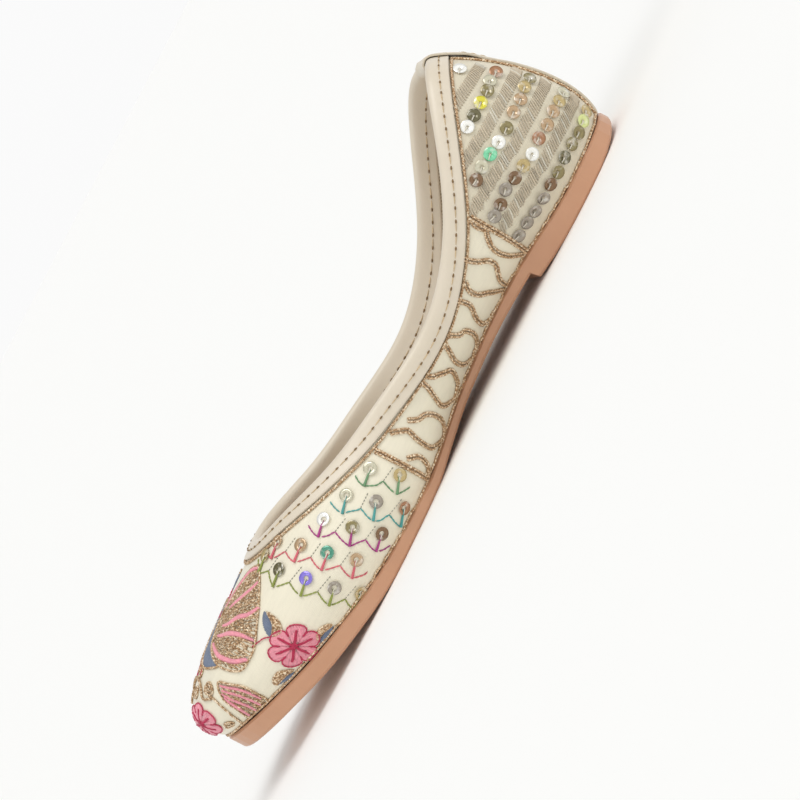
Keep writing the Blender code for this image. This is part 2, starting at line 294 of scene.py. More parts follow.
# The wall's outer faces look away from a level spine inside the shoe.
SPINE_TOE, SPINE_HEEL, SPINE_HEIGHT = -0.095, 0.09, 0.014
for face in upper.data.polygons:
    y = min(max(face.center.y, SPINE_TOE), SPINE_HEEL)
    outward = face.center - Vector((0, y, SPINE_HEIGHT))
    twilled = along(TOE_LINING_START) < face.center.y < along(COUNTER_END)
    face.material_index = 0 if face.normal.dot(outward) > 0 else 1 if twilled else 2

# The lasted silk pulls in soft troughs up the waist of each side, and in one across the vamp behind the toe.
# Each is a place along the shoe, a depth and a half width, and they fade out at the sole and the collar.
TROUGHS = (
    (74, 0.30, 4.5), (87, 0.35, 5), (103, 0.30, 5), (118, 0.35, 5.5), (134, 0.30, 4), (236, 0.35, 6),
    (62, 0.2, 4),
)
TROUGH_FOOT, TROUGH_HEIGHT = 0.012, 0.03
outer_points = {v for face in upper.data.polygons if face.material_index == 0 for v in face.vertices}
outer_normals = {i: upper.data.vertices[i].normal.copy() for i in outer_points}
for i, normal in outer_normals.items():
    place = upper.data.vertices[i].co
    s = (SOLE_BACK - place.y) * 1000
    fade = math.sin(math.pi * min(max((place.z - TROUGH_FOOT) / TROUGH_HEIGHT, 0), 1))
    depth = sum(deep * math.exp(-(((s - middle) / half) ** 2)) for middle, deep, half in TROUGHS)
    upper.data.vertices[i].co = place - normal * depth * fade / 1000

# The embroiderer's chart of one side: t runs from the back seam to the toe tip and g up from the sole, in
# millimetres over the cloth. Its sections stand across the shoe, and fan round the heel and the toe.

HEEL_TURN, TOE_TURN = 28, 205
HEEL_RADIUS, TOE_RADIUS = 28, 34
CHART_STEP = 2
REACH, LARGEST_JUMP = 0.12, 0.004
ABOVE, DOWN = 0.2, Vector((0, 0, -1))


def skin_of(piece, material=None):
    """A tree of a piece's faces for rays to meet, or only of those with one material number."""
    faces = [tuple(face.vertices) for face in piece.data.polygons if material in (None, face.material_index)]
    return BVHTree.FromPolygons([v.co.copy() for v in piece.data.vertices], faces)


cloth = skin_of(upper, 0)


def run_along(path):
    """How far along a path each of its points lies."""
    return np.concatenate([[0], np.cumsum(np.linalg.norm(np.diff(path, axis=0), axis=1))])


def at_runs(places, run, field):
    """A field that is known at the points of a path, at other distances along it."""
    return np.stack([np.interp(places, run, column) for column in field.T], 1)


def station(t):
    """The middle line's point and the level direction of the chart's section at t."""
    turn = max(HEEL_TURN - t, 0) / HEEL_RADIUS - max(t - TOE_TURN, 0) / TOE_RADIUS
    middle = Vector((0, along(min(max(t, HEEL_TURN), TOE_TURN)), 0))
    return middle, Vector((math.cos(turn), math.sin(turn), 0))


def section(t):
    """Points a millimetre apart up the outside of the cloth at t, from the sole to the collar or ridge."""
    middle, outward = station(t)
    height = Vector((0, 0, 0.001))
    while cloth.ray_cast(middle + height + outward * REACH, -outward, REACH)[0] is None:
        height.z += 0.0003
    met = []
    for quarter in range(4 * 90 + 1):
        angle = math.radians(quarter / 4)
        way = outward * math.cos(angle) + Vector((0, 0, math.sin(angle)))
        place = cloth.ray_cast(middle + height + way * REACH, -way, REACH - 0.001)[0]
        if place is None or (met and (place - met[-1]).length > LARGEST_JUMP):
            break
        met.append(place)
    met = np.array(met)
    run = run_along(met)
    return at_runs(np.arange(0, run[-1], 0.001), run, met)


BACK_SEAM = HEEL_TURN - HEEL_RADIUS * math.pi / 2
TOE_TIP = TOE_TURN + TOE_RADIUS * math.pi / 2
chart_stations = np.arange(BACK_SEAM, TOE_TIP, CHART_STEP)
chart = [section(t) for t in chart_stations]


def on_cloth(place, side=1):
    """The nearest point of the cloth's outside and its normal there."""
    found, normal, *_ = cloth.find_nearest(Vector(place))
    return np.array(found) * (side, 1, 1), np.array(normal) * (side, 1, 1)


def charted(t, g, side=1):
    """The point of the cloth at t and g on the chart, and its normal. Side is 1 on the left and -1 right."""
    first = min(max(int((t - BACK_SEAM) // CHART_STEP), 0), len(chart) - 2)
    share = (t - chart_stations[first]) / CHART_STEP
    ends = []
    for rows in chart[first : first + 2]:
        row = min(max(g, 0), len(rows) - 1.001)
        low = int(row)
        ends.append(rows[low] + (rows[low + 1] - rows[low]) * (row - low))
    return on_cloth(ends[0] + (ends[1] - ends[0]) * share, side)


def planned(x, s, side=1):
    """The point of the cloth straight under x and s, seen from above, and its normal."""
    place, normal, *_ = cloth.ray_cast(Vector((x / 1000, along(s), ABOVE)), DOWN)
    if place is None:
        return on_cloth((x / 1000, along(s), 0.02), side)
    return np.array(place) * (side, 1, 1), np.array(normal) * (side, 1, 1)


# Collar binding
# A folded strip of cream leather round the whole collar, sewn through near its lower edge with a heavy
# golden thread that shows outside and in.

binding = smooth_copy("collar_binding", "binding_strip", rim_crease=0.5)


def leather(name, colour, darker, roughness):
    """Smooth finished leather: a fine grain, and a colour that clouds a little over the hide."""
    made = new_material(name, colour, roughness, Coat_Weight=0.12, Coat_Roughness=0.3)
    tint = tinted(made, noise(made, 55, object_place(made), 3), darker, colour)
    finish_surface(made, Base_Color=tint, Normal=leather_grain(made))
    return made


give_material(binding, leather("cream binding leather", "ded3c1", "d4c8b3", 0.4))
binding_skin = skin_of(binding)
LEAST_RING = 40
SKIN_REACH = 0.004
FIBRE_MM = 0.35


def unit(vectors):
    return vectors / np.linalg.norm(vectors, axis=-1, keepdims=True)


def sharp_rings(node):
    """The closed sharp edges of a CAD node, each as a ring of points from the heel over the left side."""
    shape = bmesh.new()
    shape.from_mesh(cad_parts[node].data)
    bmesh.ops.remove_doubles(shape, verts=shape.verts, dist=1e-5)
    sharp = {e: None for e in shape.edges if len(e.link_faces) == 2 and e.calc_face_angle() > SHARP}
    rings = []
    while sharp:
        edge = next(iter(sharp))
        ring = [edge.verts[0]]
        while edge is not None:
            del sharp[edge]
            ring.append(edge.other_vert(ring[-1]))
            edge = next((e for e in ring[-1].link_edges if e in sharp), None)
        if len(ring) < LEAST_RING or ring[-1] != ring[0]:
            continue
        points = np.array([v.co for v in ring[:-1]])
        points = np.roll(points, -int(points[:, 1].argmax()), 0)
        rings.append(points if points[3, 0] > 0 else np.roll(points[::-1], 1, 0))
    shape.free()
    return rings


def spline(points, parts=8, closed=False):
    """A smooth line through the points, with that many parts between each two of them."""
    points = np.asarray(points, float)
    if closed:
        before, after, beyond = np.roll(points, 1, 0), np.roll(points, -1, 0), np.roll(points, -2, 0)
    else:
        ends = np.concatenate([2 * points[:1] - points[1:2], points, 2 * points[-1:] - points[-2:-1]])
        before, points, after, beyond = ends[:-3], ends[1:-2], ends[2:-1], ends[3:]
    t = (np.arange(parts) / parts)[:, None, None]
    line = 0.5 * (
        2 * points
        + (after - before) * t
        + (2 * before - 5 * points + 4 * after - beyond) * t**2
        + (3 * points - before - 3 * after + beyond) * t**3
    )
    line = line.transpose(1, 0, 2).reshape(-1, points.shape[1])
    return line if closed else np.concatenate([line, after[-1:]])


def even(path, step, closed=False, *fields):
    """The path, and any fields along it, at even distances of about step metres."""
    if closed:
        path, fields = np.concatenate([path, path[:1]]), [np.concatenate([f, f[:1]]) for f in fields]
    run = run_along(path)
    count = max(int(round(run[-1] / step)), 2)
    places = np.linspace(0, run[-1], count + 1)[: count if closed else count + 1]
    return [at_runs(places, run, field) for field in (path, *fields)]


def heading(path, closed=False):
    """The unit direction of a path at each of its points."""
    return unit(np.roll(path, -1, 0) - np.roll(path, 1, 0)) if closed else unit(np.gradient(path, axis=0))


def split_spots(spots):
    """Pairs of a place and a normal, as an array of the places and one of the normals."""
    return (np.array(field) for field in zip(*spots))


def shifted(ring, skin, distance, step, facing=1):
    """A closed ring moved up the cloth and laid on a skin, and the skin's normals there.

    Facing is 1 for the skin's outer side and -1 for the side that faces the foot.
    """
    ring = spline(ring, 4, closed=True)
    normals = np.array([cloth.find_nearest(Vector(point))[1] for point in ring])
    aside = unit(np.cross(normals, heading(ring, True)))
    aside *= np.sign(aside[:, 2].sum())
    path, normals = even(ring + aside * distance, step, True, normals * facing)
    found = []
    for point, normal in zip(path, unit(normals)):
        met = skin.ray_cast(Vector(point + normal * SKIN_REACH), Vector(-normal), 2 * SKIN_REACH)
        found.append((met if met[0] is not None else skin.find_nearest(Vector(point)))[:2])
    places, normals = split_spots(found)
    return places, unit(normals)


# A work gathers the sections of many threads, which become one mesh. A section is a ring of points round
# the thread, and tone is how light each stitch is, for the small changes of a real thread.


def new_work():
    return {"points": [], "faces": [], "tones": [], "materials": [], "count": 0}


def add_sections(work, sections, material=0, tone=1.0, closed=False):
    """Joins a row of sections to a tube. Its ends are filled, or joined to a ring where it is closed."""
    rows, size = sections.shape[:2]
    start = work["count"]
    for row in range(rows if closed else rows - 1):
        here, after = start + row * size, start + (row + 1) % rows * size
        for j in range(size):
            k = (j + 1) % size
            work["faces"].append((here + j, here + k, after + k, after + j))
    if not closed:
        last = start + (rows - 1) * size
        work["faces"].append(tuple(range(start + size - 1, start - 1, -1)))
        work["faces"].append(tuple(range(last, last + size)))
    added = len(work["faces"]) - len(work["materials"])
    work["materials"] += [material] * added
    work["points"].append(sections.reshape(-1, 3))
    work["tones"] += [tone] * (rows * size)
    work["count"] += rows * size


def tube(path, normals, radius, sides=5, closed=False):
    """The sections of a tube along a path. Radius is one number, or one for each point."""
    ahead = heading(path, closed)
    across = unit(np.cross(ahead, normals))
    over = np.cross(across, ahead)
    turns = np.arange(sides) * 2 * np.pi / sides
    radius = np.broadcast_to(radius, len(path))[:, None, None]
    ring = across[:, None] * np.cos(turns)[:, None] + over[:, None] * np.sin(turns)[:, None]
    return path[:, None] + ring * radius


def arch(count, start):
    """Heights that rise from nearly 0 to 1 and fall again, as a sine does from a start angle."""
    return np.sin(np.linspace(start, math.pi - start, count))


def sewn(work, path, normals, length, gap, radius, material=0):
    """A row of stitches along an even path: each one rises out of its hole and dips into the next."""
    step = np.linalg.norm(path[1] - path[0])
    size, pace = max(int(round(length / step)), 3), max(int(round((length + gap) / step)), 2)
    for start in range(0, len(path) - size, pace):
        part = slice(start, start + size + 1)
        shape = arch(size + 1, 0.12)
        lifted = path[part] + normals[part] * (shape**0.6 * radius * 0.9 - radius * 0.3)[:, None]
        tone = random.gauss(1, 0.06)
        add_sections(work, tube(lifted, normals[part], radius * shape**0.5), material, tone)


def finished(work, name, *materials):
    """The work as a piece that rides on the shoe."""
    mesh = bpy.data.meshes.new(name)
    mesh.from_pydata(np.concatenate(work["points"]).tolist(), [], work["faces"])
    mesh.attributes.new("tone", "FLOAT", "POINT").data.foreach_set("value", work["tones"])
    mesh.polygons.foreach_set("material_index", work["materials"])
    for material in materials:
        mesh.materials.append(material)
    piece = bpy.data.objects.new(name, mesh)
    bpy.context.scene.collection.objects.link(piece)
    select_only(piece)
    bpy.ops.object.mode_set(mode="EDIT")
    bpy.ops.mesh.select_all(action="SELECT")
    bpy.ops.mesh.normals_make_consistent(inside=False)
    bpy.ops.object.mode_set(mode="OBJECT")
    bpy.ops.object.shade_smooth()
    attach(piece, "root")


def toned(material, colour):
    """A colour made lighter or darker by each stitch's tone."""
    tone = add_node(material, "ShaderNodeAttribute", [("attribute_name", "tone")])
    return shaded(material, colour, tone.outputs["Fac"])


def thread(name, colour, darker, roughness, **sockets):
    """Embroidery thread: fine fibres across a colour that changes a little from stitch to stitch."""
    made = new_material(name, colour, roughness, **sockets)
    fibres = noise(made, 1000 / FIBRE_MM, object_place(made))
    tint = toned(made, tinted(made, fibres, darker, colour))
    finish_surface(made, Base_Color=tint, Normal=bumped(made, fibres, 0.4, 0.0001))
    return made


random.seed(7)
STITCH_STEP = 0.0005
sewing_thread = thread("waxed golden sewing thread", "d6c09a", "b89e76", 0.55)
# The darker thread laid at each needle hole stands for the shade in the hole: painted shade.
needle_hole_painted_shade = thread("shaded thread in the needle holes", "8c7049", "6d5435", 0.8)
binding_rings = sorted(sharp_rings("collar_binding"), key=lambda ring: np.abs(ring[:, 0]).mean())
OUTER_SEAM, INNER_SEAM = 0.0033, 0.0034
# The length, gap and thread radius of the stitches, and of the dark thread at their holes, which is painted
# shade.
BINDING_STITCH, BINDING_HOLE_SHADE = (0.0037, 0.0008, 0.00020), (0.0010, 0.0035, 0.00034)
stitches = new_work()
for ring, distance, facing in ((binding_rings[-1], OUTER_SEAM, 1), (binding_rings[0], INNER_SEAM, -1)):
    seam = shifted(ring, binding_skin, distance, STITCH_STEP, facing)
    sewn(stitches, *seam, *BINDING_STITCH)
    sewn(stitches, *(np.roll(line, 1, 0) for line in seam), *BINDING_HOLE_SHADE, 1)
finished(stitches, "binding_stitches", sewing_thread, needle_hole_painted_shade)

# Backstay
# A plain strip of the same leather up the back seam. Its top is folded over the binding and sewn down.

backstay = smooth_copy("backstay", "backstay_strip", rim_crease=0.5)
give_material(backstay, leather("cream backstay leather", "ddd4c2", "d3c8b3", 0.45))
backstay_skin = skin_of(backstay)
SEAM_HALF, SEAM_FOOT, SEAM_TOP = 0.0078, 0.050, 0.059
corners = ((-SEAM_HALF, SEAM_FOOT), (-SEAM_HALF, SEAM_TOP), (SEAM_HALF, SEAM_TOP), (SEAM_HALF, SEAM_FOOT))
BACKSTAY_STITCH = (0.0026, 0.0009, 0.00016)
backstay_stitches = new_work()
for (x0, z0), (x1, z1) in zip(corners, corners[1:]):
    count = int(max(abs(x1 - x0), abs(z1 - z0)) / STITCH_STEP)
    rows = [(x0 + (x1 - x0) * i / count, z0 + (z1 - z0) * i / count) for i in range(count + 1)]
    met = [backstay_skin.ray_cast(Vector((x, 0.2, z)), Vector((0, -1, 0)))[:2] for x, z in rows]
    sewn(backstay_stitches, *split_spots(met), *BACKSTAY_STITCH)
finished(backstay_stitches, "backstay_stitches", sewing_thread)

# Gold cords
# Zari, a yarn of gilt foil wound round a silk core, twisted two-ply and couched down along the collar, the
# sole, the backstay and the ends of the heel and side fields.

WELT_CORD, COLLAR_CORD, SCROLL_CORD = 0.00030, 0.00034, 0.00031
STRANDS_A_TURN = 6


def zari(name, colour, darker, painted_glint):
    """Gilt yarn: metal with painted shade in the darker places between the turns of the foil, and scattered
    painted glints.
    """
    made = new_material(name, colour, 0.42, Metallic=0.35)
    foil = noise(made, 1500, object_place(made), 1)
    ramp = add_node(made, "ShaderNodeValToRGB", (), [(0, foil)])
    # The ramp paints shade in the low places of the noise and glints in the high ones: painted shade and
    # painted highlights.
    for position, shade in ((0.36, darker), (0.52, colour), (0.66, painted_glint)):
        ramp.color_ramp.elements.new(position).color = linear(shade)
    ramp.color_ramp.elements.remove(ramp.color_ramp.elements[0])
    ramp.color_ramp.elements.remove(ramp.color_ramp.elements[-1])
    finish_surface(made, Base_Color=toned(made, ramp.outputs[0]), Normal=bumped(made, foil, 0.5, 0.0001))
    return made


gold = zari("antique gold zari", "ccab84", "a07b57", "fbecd2")


def rope(work, path, normals, strand, material=0, closed=False):
    """A two-ply cord of that strand radius, laid on the cloth along an even path."""
    length = len(path) * np.linalg.norm(path[1] - path[0])
    turns = max(round(length / (STRANDS_A_TURN * strand)), 1)
    phase = np.arange(len(path)) / len(path) * turns * 2 * np.pi
    across = unit(np.cross(heading(path, closed), normals))
    core = path + normals * strand * 1.2
    for ply in (0, np.pi):
        offset = across * np.cos(phase + ply)[:, None] + normals * np.sin(phase + ply)[:, None]
        sections = tube(core + offset * strand * 0.85, normals, strand, 4, closed)
        add_sections(work, sections, material, random.gauss(1, 0.05), closed=closed)


def laid(points, step=0.0005, place=charted, side=1, closed=False, smooth=True):
    """A line through places of the chart or plan, as an even path over the cloth with its normals."""
    line = spline(points, 6, closed) if smooth else np.asarray(points, float)
    places, normals = split_spots([place(u, v, side) for u, v in line])
    path, normals = even(places, step, closed, normals)
    return path, unit(normals)


WELT_HEIGHT = 0.8
# Where each cord across the cloth lies on the chart, and how far up it goes.
CROSS_CORDS = ((-3.2, 58), (55.8, 31), (56.9, 31), (139.4, 27.5), (140.5, 27.5))
cords = new_work()
rope(cords, *shifted(binding_rings[-1], cloth, -0.0010, STITCH_STEP), COLLAR_CORD, closed=True)
for side in (1, -1):
    welt = [(t, WELT_HEIGHT) for t in np.arange(BACK_SEAM, TOE_TIP, 3)]
    rope(cords, *laid(welt, side=side), WELT_CORD)
    for t, top in CROSS_CORDS:
        line = [(t, g) for g in np.arange(1, top, 3)]
        rope(cords, *laid(line, side=side), COLLAR_CORD)
finished(cords, "gold_cords", gold)

# Heel rows
# Rows of sequins parallel to the sole, each sewn down with one stitch, between braids of slanted satin
# stitches in dull gold.

SEQUIN_RADIUS, SEQUIN_HOLE, SEQUIN_CUP = 0.0024, 0.0005, 0.0004


def sequin_plastic(name, colour):
    """Pressed polyester film with a pearly coat: a bright gloss, and pale places in its colour that are
    painted pearly sheen.
    """
    made = new_material(
        name, colour, 0.22, Metallic=0.3, Coat_Weight=0.7, Coat_Roughness=0.1, Specular_IOR_Level=0.6
    )
    pearl = [("Value", noise(made, 420, object_place(made)))]
    pearl_painted_sheen = add_node(made, "ShaderNodeMapRange", [("From Min", 0.52), ("From Max", 0.85)], pearl)
    finish_surface(made, Base_Color=tinted(made, pearl_painted_sheen.outputs[0], colour, "f6f2e8"))
    return made


SEQUIN_COLOURS = {
    "w": ("white", "fbfaf4"),
    "y": ("yellow", "e3d93a"),
    "g": ("gold", "c2ab72"),
    "o": ("olive", "8d8050"),
    "d": ("dark_olive", "67603c"),
    "b": ("brown", "7c5a36"),
    "t": ("tan", "bf9f78"),
    "m": ("mint", "7fdcab"),
    "c": ("clear", "cfcab0"),
    "l": ("lime", "dde69a"),
    "s": ("smoke", "9c9284"),
    "v": ("violet", "8d7ce0"),
    "e": ("green", "4f9a80"),
    "r": ("russet", "a9764e"),
}
sequin_materials = [sequin_plastic(f"{name} sequin film", colour) for name, colour in SEQUIN_COLOURS.values()]
cream_thread = thread("cream silk thread", "e9e4d6", "cfc7b4", 0.6)


def sequin(work, place, normal, ahead, code, tilt, hole=SEQUIN_HOLE):
    """A cupped disc with a hole, tipped towards ahead, and the stitch that holds it."""
    radius = SEQUIN_RADIUS
    along_row = unit(ahead - normal * (ahead @ normal))
    aside = np.cross(normal, along_row)
    up_tipped = unit(normal * math.cos(tilt) + along_row * math.sin(tilt))
    row_tipped = np.cross(aside, up_tipped)
    turns = np.arange(14) * 2 * np.pi / 14
    rim = row_tipped * np.cos(turns)[:, None] + aside * np.sin(turns)[:, None]
    centre = place + normal * (0.0003 + radius * abs(math.sin(tilt)))
    profile = ((hole, 0.0), (radius * 0.6, 0.00002), (radius, SEQUIN_CUP), (radius, SEQUIN_CUP - 0.0001))
    profile += ((radius * 0.6, -0.0001), (hole, -0.00012))
    rings = [centre + rim * across + up_tipped * height for across, height in profile]
    add_sections(work, np.array(rings), list(SEQUIN_COLOURS).index(code), 1.0, closed=True)
    fastened = np.linspace(0, 1, 6)[:, None]
    path = centre + row_tipped * radius * 1.15 * fastened
    path = path + up_tipped * (0.0002 + SEQUIN_CUP * fastened - 0.0012 * fastened**4)
    add_sections(work, tube(path, np.tile(up_tipped, (6, 1)), 0.00022, 4), len(SEQUIN_COLOURS), 1.0)


HEEL_SEQUINS = (
    ("w", (11, 51.5), (11.1, 51.5)),
    ("rcoydw", (8, 40), (30, 42.3)),
    ("ogttowmcb", (5, 28.2), (44.5, 32.1)),
    ("cgttrwgbsbs", (3.5, 16.2), (52.5, 21.5)),
    ("gloodobssss", (4, 5.5), (53.5, 9.2)),
)
sequins = new_work()
for side in (1, -1):
    for codes, start, end in HEEL_SEQUINS:
        for code, share in zip(codes, np.linspace(0, 1, len(codes))):
            t, g = np.array(start) * (1 - share) + np.array(end) * share
            spot, normal = charted(t + random.gauss(0, 0.15), g + random.gauss(0, 0.25), side)
            ahead = charted(t + 1, g, side)[0] - charted(t - 1, g, side)[0]
            sequin(sequins, spot, normal, ahead, code, random.gauss(0.2, 0.08))
finished(sequins, "heel_sequins", *sequin_materials, cream_thread)

BRAIDS = (
    ((4, 45.2), (27, 48.8)),
    ((-1, 32.5), (46, 38.0)),
    ((-1, 22.0), (54.5, 28.0)),
    ((-1, 10.6), (54.5, 16.2)),
)
BRAID_PITCH, BRAID_HALF, BRAID_SLANT = 0.95, 1.9, 1.3
CREAM_SHARE = 0.12
dull_gold = thread("dull gold rayon thread", "d6c9b2", "b3a48c", 0.45, Sheen_Weight=0.2)
braids = new_work()
for side in (1, -1):
    for start, end in BRAIDS:
        start, end = np.array(start), np.array(end)
        count = int(np.linalg.norm(end - start) / BRAID_PITCH)
        for share in np.linspace(0, 1, count):
            t, g = start * (1 - share) + end * share
            ends = [(t - BRAID_SLANT, g + BRAID_HALF), (t, g), (t + BRAID_SLANT, g - BRAID_HALF)]
            path, normals = laid(ends, 0.0006, side=side, smooth=False)
            rise = arch(len(path), 0.2)[:, None]
            stroke = tube(path + normals * (0.00005 + 0.00025 * rise), normals, 0.0003, 4)
            add_sections(braids, stroke, int(random.random() < CREAM_SHARE), random.gauss(1, 0.08))
finished(braids, "heel_braids", dull_gold, cream_thread)

# Side scrolls
# Waving lines of doubled gold cord on each side, looping between the collar and the sole, each one sewn
# down over its whole length.

SCROLLS = (
    ((57, 27), (58, 24), (57.5, 21)),
    ((57, 21), (59.5, 19), (61.5, 16.5), (62, 13), (61, 8.5), (59, 4), (57.5, 0.8)),
    ((69.5, 24), (69.3, 22), (68, 18.5), (66, 15), (66, 11.5), (68, 9), (69.5, 6), (69.5, 1)),
    ((76, 21), (78, 18), (77.5, 14), (75, 10), (73, 5.5), (71.5, 1)),
    ((83, 23), (82, 18.5), (82.5, 15.5), (84.5, 11), (85, 5.5), (82.5, 2.5), (79.5, 1)),
    (
        (95, 21), (93, 17.5), (90.5, 14.5), (89.5, 10), (90, 6), (91.5, 4.2), (94.5, 2.5), (98, 3.5),
        (100.5, 9), (100.5, 14), (98.5, 18), (97, 21),
    ),
    (
        (110, 22), (108.5, 18.5), (106, 17), (104, 12.5), (105.5, 9), (108, 4.5), (111.5, 4), (114.5, 7),
        (116, 11), (114.5, 15.5), (113, 19.5), (112.5, 22.5),
    ),
    (
        (126, 21), (124, 17.5), (121, 15.5), (120, 12.5), (120.5, 7), (123, 2), (126.5, 2), (130, 6.5),
        (130.5, 11), (130, 15), (129, 18.5), (130.5, 21), (132.5, 23),
    ),
    ((137.5, 13.5), (135, 10.5), (135.5, 6.5), (137, 3), (140, 2.5)),
)
scrolls = new_work()
for side in (1, -1):
    for line in SCROLLS:
        path, normals = laid(line, side=side)
        across = unit(np.cross(heading(path), normals))
        for offset in (-SCROLL_CORD * 1.75, SCROLL_CORD * 1.75):
            rope(scrolls, path + across * offset, normals, SCROLL_CORD)
finished(scrolls, "side_scrolls", gold)

# Scale rows
# Five rows of scales from the collar down to the sole. Each has a sequin on a thick stalk of thread, and
# lies in a cell with a V of coloured back stitch in front and rows of fine grey stitches beside.

SCALE_ROWS = (
    ("6f9a6a", "5f8a63", "cg", ((146, 23), (143.5, 13.5))),
    ("4fa9a3", "3d8d8b", "csr", ((157.5, 25), (155, 15), (152.5, 5))),
    ("b23a8c", "96286f", "wob", ((168, 27.5), (166, 17), (163.5, 8))),
    ("e0707a", "c4515f", "ttet", ((181.5, 39), (179, 29.5), (177.3, 19.7), (175, 10))),
    ("97a046", "7b8736", "gdvsg", ((187.5, 41), (189.5, 30.5), (188, 20), (186.5, 10.5), (184, 1.5))),
)
STALK, ELBOW = np.array((6.2, -2.2)), np.array((3.0, -1.0))
scales = new_work()
scale_sequins = new_work()
scale_threads = []
for row, (colour, darker, codes, spots) in enumerate(SCALE_ROWS):
    scale_threads.append(thread(f"rayon thread, scale row {row + 1}", colour, darker, 0.45, Sheen_Weight=0.2))
    spots = np.array(spots, float)
    between = (spots[1:] + spots[:-1]) / 2 + ELBOW
    pitch = spots[0] - spots[1]
    elbows = np.concatenate([[spots[0] + pitch / 2 + ELBOW], between, [spots[-1] - pitch / 2 + ELBOW]])
    for side in (1, -1):
        for code, spot, upper_elbow, lower_elbow in zip(codes, spots, elbows, elbows[1:]):
            tip = spot + STALK
            for arm in (upper_elbow, lower_elbow):
                if arm[1] > 0:
                    path, normals = laid([arm, (arm + tip) / 2 + (0.3, 0), tip], 0.0004, side=side)
                    sewn(scales, path, normals, 0.002, -0.0003, 0.0003, row)
            path, normals = laid([spot + STALK * 0.05, tip], 0.0004, side=side, smooth=False)
            widths = np.linspace(0.00028, 0.00055, len(path))
            stalk = tube(path + normals * 0.00045, normals, widths, 6)
            add_sections(scales, stalk, row, random.gauss(1, 0.05))
            place, normal = charted(*spot, side)
            ahead = charted(*tip, side)[0] - place
            sequin(scale_sequins, place, normal, ahead, code, 0.04, hole=0.0009)
        for elbow in elbows[1:-1]:
            path, normals = laid([elbow, elbow - (6.5, 0.3)], 0.0003, side=side, smooth=False)
            sewn(scales, path, normals, 0.0009, 0.0004, 0.0002, len(SCALE_ROWS))
grey_thread = thread("fine grey silk thread", "adab9b", "8e8c7e", 0.6)
finished(scales, "scale_stitches", *scale_threads, grey_thread)
finished(scale_sequins, "scale_sequins", *sequin_materials, cream_thread)

# Flowers and leaves
# Six-petalled flowers in pink satin stitch with crimson veins and edges, and leaves that are half slate
# blue satin and half gold. One flower is on each side, one on the vamp and one at the toe.

PITCH_MM, THREAD_RADIUS = 0.42, 0.00027
LEAST_STITCH, LINE_STEP = 0.0002, 0.0004
ROSE, CRIMSON, SLATE, ZARI = range(4)
vamp_threads = (
    thread("rose pink rayon thread", "f3aab6", "e88f9f", 0.4, Sheen_Weight=0.3),
    thread("crimson rayon thread", "cb2355", "a5143f", 0.4, Sheen_Weight=0.2),
    thread("slate blue rayon thread", "7b879c", "606d85", 0.4, Sheen_Weight=0.3),
    gold,
)


def satin(work, outline, angle, place, side, material, rise=0.0002, spread=0.06, stitch=None):
    """Fills an outline with stitches that lie side by side along one way of the chart, in degrees."""
    outline = spline(outline, 4, closed=True)
    way = np.array((math.cos(math.radians(angle)), math.sin(math.radians(angle))))
    aside = np.array((-way[1], way[0]))
    u, v = outline @ way, outline @ aside
    for row in np.arange(v.min() + PITCH_MM / 2, v.max(), PITCH_MM):
        above = v > row
        turns = np.nonzero(above != np.roll(above, -1))[0]
        after = (turns + 1) % len(v)
        cuts = sorted(u[turns] + (row - v[turns]) / (v[after] - v[turns]) * (u[after] - u[turns]))
        for start, end in zip(cuts[::2], cuts[1::2]):
            parts = max(round((end - start) / stitch), 1) if stitch else 1
            ends = np.linspace(start, end, parts + 1)
            ends[1:-1] += [random.uniform(-0.3, 0.3) * stitch for _ in ends[1:-1]]
            for first, last in zip(ends, ends[1:]):
                count = max(int(abs(last - first) / 0.8) + 2, 3)
                spots = [place(*(way * x + aside * row), side) for x in np.linspace(first, last, count)]
                path, normals = split_spots(spots)
                lift = THREAD_RADIUS * 0.4 + rise * arch(count, 0.1)
                path = path + normals * lift[:, None]
                if np.linalg.norm(path[-1] - path[0]) > LEAST_STITCH:
                    laid_thread = tube(path, normals, THREAD_RADIUS, 4)
                    add_sections(work, laid_thread, material, random.gauss(1, spread))


def band(work, line, width, place, side, material, rise=0.0003):
    """A tapered band of slanted satin stitches across a line. Width is in millimetres at its middle."""
    line, = even(spline(line, 6), PITCH_MM)
    ahead = heading(line)
    aside = np.stack([-ahead[:, 1], ahead[:, 0]], 1)
    swell = arch(len(line), 0.25) ** 0.6
    for point, along_line, across, share in zip(line, ahead, aside, swell):
        half = across * width / 2 * share + along_line * width / 4 * share
        spots = [place(*(point + half * reach), side) for reach in (-1, -0.5, 0, 0.5, 1)]
        path, normals = split_spots(spots)
        path = path + normals * (np.array((0.3, 0.8, 1, 0.8, 0.3)) * rise)[:, None]
        add_sections(work, tube(path, normals, THREAD_RADIUS, 4), material, random.gauss(1, 0.05))


def edged(work, line, place, side, material, radius=0.00028):
    """A line of split stitches, laid on top of the satin beside it."""
    path, normals = laid(line, LINE_STEP, place, side)
    sewn(work, path + normals * 0.0003, normals, 0.0018, -0.0004, radius, material)


def cord_line(work, line, place, side, strand=0.00027, closed=False):
    path, normals = laid(line, LINE_STEP, place, side, closed)
    rope(work, path + normals * 0.0001, normals, strand, ZARI, closed)


def oval(x, s, half_x, half_s):
    """Six places round a small oval."""
    return [(x + half_x * math.cos(a), s + half_s * math.sin(a)) for a in range(6)]


